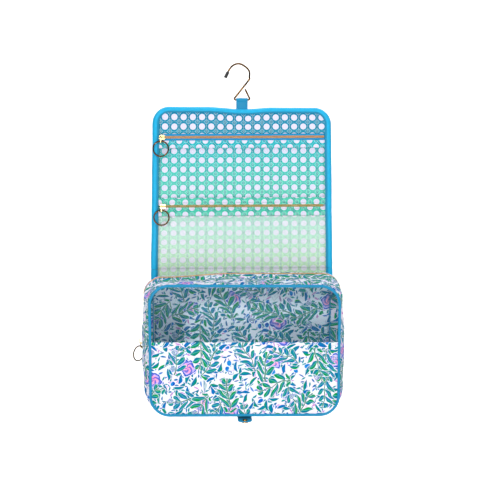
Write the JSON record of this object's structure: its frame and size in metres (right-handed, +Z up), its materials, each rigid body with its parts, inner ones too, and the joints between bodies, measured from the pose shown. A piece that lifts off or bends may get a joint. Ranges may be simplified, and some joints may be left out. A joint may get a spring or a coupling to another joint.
{
  "type": "hanging toiletry bag",
  "caption": "Hanging toiletry bag with two clear zip pockets, a zip-round pouch with a window, printed fabric, blue trim and a gold hook with a rubber tip.",
  "frame": {"origin": "the highest point inside the hook's arch, where a rail carries it", "axes": "+Z up, +Y towards the back of the bag, +X to the right seen from the front; the bag faces -Y"},
  "size_m": [0.2895, 0.0997, 0.478],
  "materials": {
    "gold_metal": "polished",
    "black_rubber": "matte",
    "blue_trim": "satin",
    "floral_fabric": "satin",
    "cane_print_fabric": "satin",
    "clear_vinyl": "glossy, clear",
    "foam": "matte",
    "board": "matte",
    "lining": "satin"
  },
  "bodies": {
    "hook": {"hook_wire": "gold_metal", "hook_tip_cap": "black_rubber"},
    "upper_panel": {"hanger_strap": "blue_trim", "snap_socket": "gold_metal", "upper_outer_fabric": "floral_fabric", "upper_foam_pad": "foam", "upper_cane_lining": "cane_print_fabric", "upper_edge_binding": "blue_trim", "upper_header": "cane_print_fabric", "upper_zipper_tape": "blue_trim", "upper_zipper_teeth": "gold_metal", "upper_trim_strip": "cane_print_fabric", "upper_pocket_vinyl": "clear_vinyl", "fold_trim_strip": "cane_print_fabric"},
    "upper_slider": {"upper_zip_slider": "gold_metal"},
    "upper_link": {"upper_pull_link": "gold_metal"},
    "upper_ring": {"upper_pull_ring": "gold_metal"},
    "lower_panel": {"lower_outer_fabric": "floral_fabric", "lower_foam_pad": "foam", "lower_cane_lining": "cane_print_fabric", "lower_binding_left": "blue_trim", "lower_binding_right": "blue_trim", "lower_head_strip": "cane_print_fabric", "lower_zipper_tape": "blue_trim", "lower_zipper_teeth": "gold_metal", "lower_trim_strip": "cane_print_fabric", "lower_pocket_vinyl": "clear_vinyl"},
    "lower_slider": {"lower_zip_slider": "gold_metal"},
    "lower_link": {"lower_pull_link": "gold_metal"},
    "lower_ring": {"lower_pull_ring": "gold_metal"},
    "pouch_tray": {"back_outer_fabric": "floral_fabric", "back_board": "board", "back_lining": "lining", "tray_gusset": "floral_fabric", "back_piping": "blue_trim", "tray_zipper_tape": "blue_trim", "tray_zipper_teeth": "gold_metal", "bottom_hinge_strip": "floral_fabric", "top_hinge_strip": "floral_fabric"},
    "pouch_lid": {"lid_gusset": "floral_fabric", "front_piping": "blue_trim", "front_print_fabric": "floral_fabric", "front_lining": "lining", "window_vinyl": "clear_vinyl", "window_seam_tape": "blue_trim", "lid_zipper_tape": "blue_trim", "lid_zipper_teeth": "gold_metal"},
    "side_slider": {"side_zip_slider": "gold_metal"},
    "side_link": {"side_pull_link": "gold_metal"},
    "side_ring": {"side_pull_ring": "gold_metal"},
    "snap_tab": {"snap_tab_webbing": "blue_trim", "snap_cap": "gold_metal", "snap_stud": "gold_metal"}
  },
  "joints": [
    {"name": "strap_swing", "type": "hinge", "parent": "hook", "child": "upper_panel", "pos_m": [0, 0, -0.0474], "axis": [1, 0, 0], "range_deg": [-40, 40]},
    {"name": "pocket_fold", "type": "hinge", "parent": "upper_panel", "child": "lower_panel", "pos_m": [0.005, -0.006, -0.185], "axis": [-1, 0, 0], "range_deg": [0, 96]},
    {"name": "pouch_fold", "type": "hinge", "parent": "lower_panel", "child": "pouch_tray", "pos_m": [0.005, -0.006, -0.281], "axis": [-1, 0, 0], "range_deg": [0, 84]},
    {"name": "lid_hinge", "type": "hinge", "parent": "pouch_tray", "child": "pouch_lid", "pos_m": [0.005, -0.018, -0.4682], "axis": [-1, 0, 0], "range_deg": [-95, 0]},
    {"name": "tab_hinge", "type": "hinge", "parent": "pouch_lid", "child": "snap_tab", "pos_m": [0.005, -0.05, -0.4702], "axis": [-1, 0, 0], "range_deg": [-80, 0]},
    {"name": "upper_slider_slide", "type": "slide", "parent": "upper_panel", "child": "upper_slider", "axis": [1, 0, 0], "range_m": [0, 0.205]},
    {"name": "upper_link_hinge", "type": "hinge", "parent": "upper_slider", "child": "upper_link", "pos_m": [-0.1058, -0.009, -0.0975], "axis": [1, 0, 0], "range_deg": [-90, 0]},
    {"name": "upper_ring_hinge", "type": "hinge", "parent": "upper_link", "child": "upper_ring", "pos_m": [-0.1058, -0.009, -0.1022], "axis": [1, 0, 0], "range_deg": [-85, 5]},
    {"name": "lower_slider_slide", "type": "slide", "parent": "lower_panel", "child": "lower_slider", "axis": [1, 0, 0], "range_m": [0, 0.205]},
    {"name": "lower_link_hinge", "type": "hinge", "parent": "lower_slider", "child": "lower_link", "pos_m": [-0.1058, -0.009, -0.1923], "axis": [1, 0, 0], "range_deg": [-90, 0]},
    {"name": "lower_ring_hinge", "type": "hinge", "parent": "lower_link", "child": "lower_ring", "pos_m": [-0.1058, -0.009, -0.197], "axis": [1, 0, 0], "range_deg": [-85, 5]},
    {"name": "side_slider_slide", "type": "slide", "parent": "pouch_tray", "child": "side_slider", "axis": [0, 0, 1], "range_m": [-0.055, 0.06]},
    {"name": "side_link_hinge", "type": "hinge", "parent": "side_slider", "child": "side_link", "pos_m": [-0.1347, -0.018, -0.3819], "axis": [1, 0, 0], "range_deg": [-24, 24]},
    {"name": "side_ring_hinge", "type": "hinge", "parent": "side_link", "child": "side_ring", "pos_m": [-0.1347, -0.018, -0.3866], "axis": [-0.6691, -0.7431, 0], "range_deg": [-20, 0]}
  ]
}
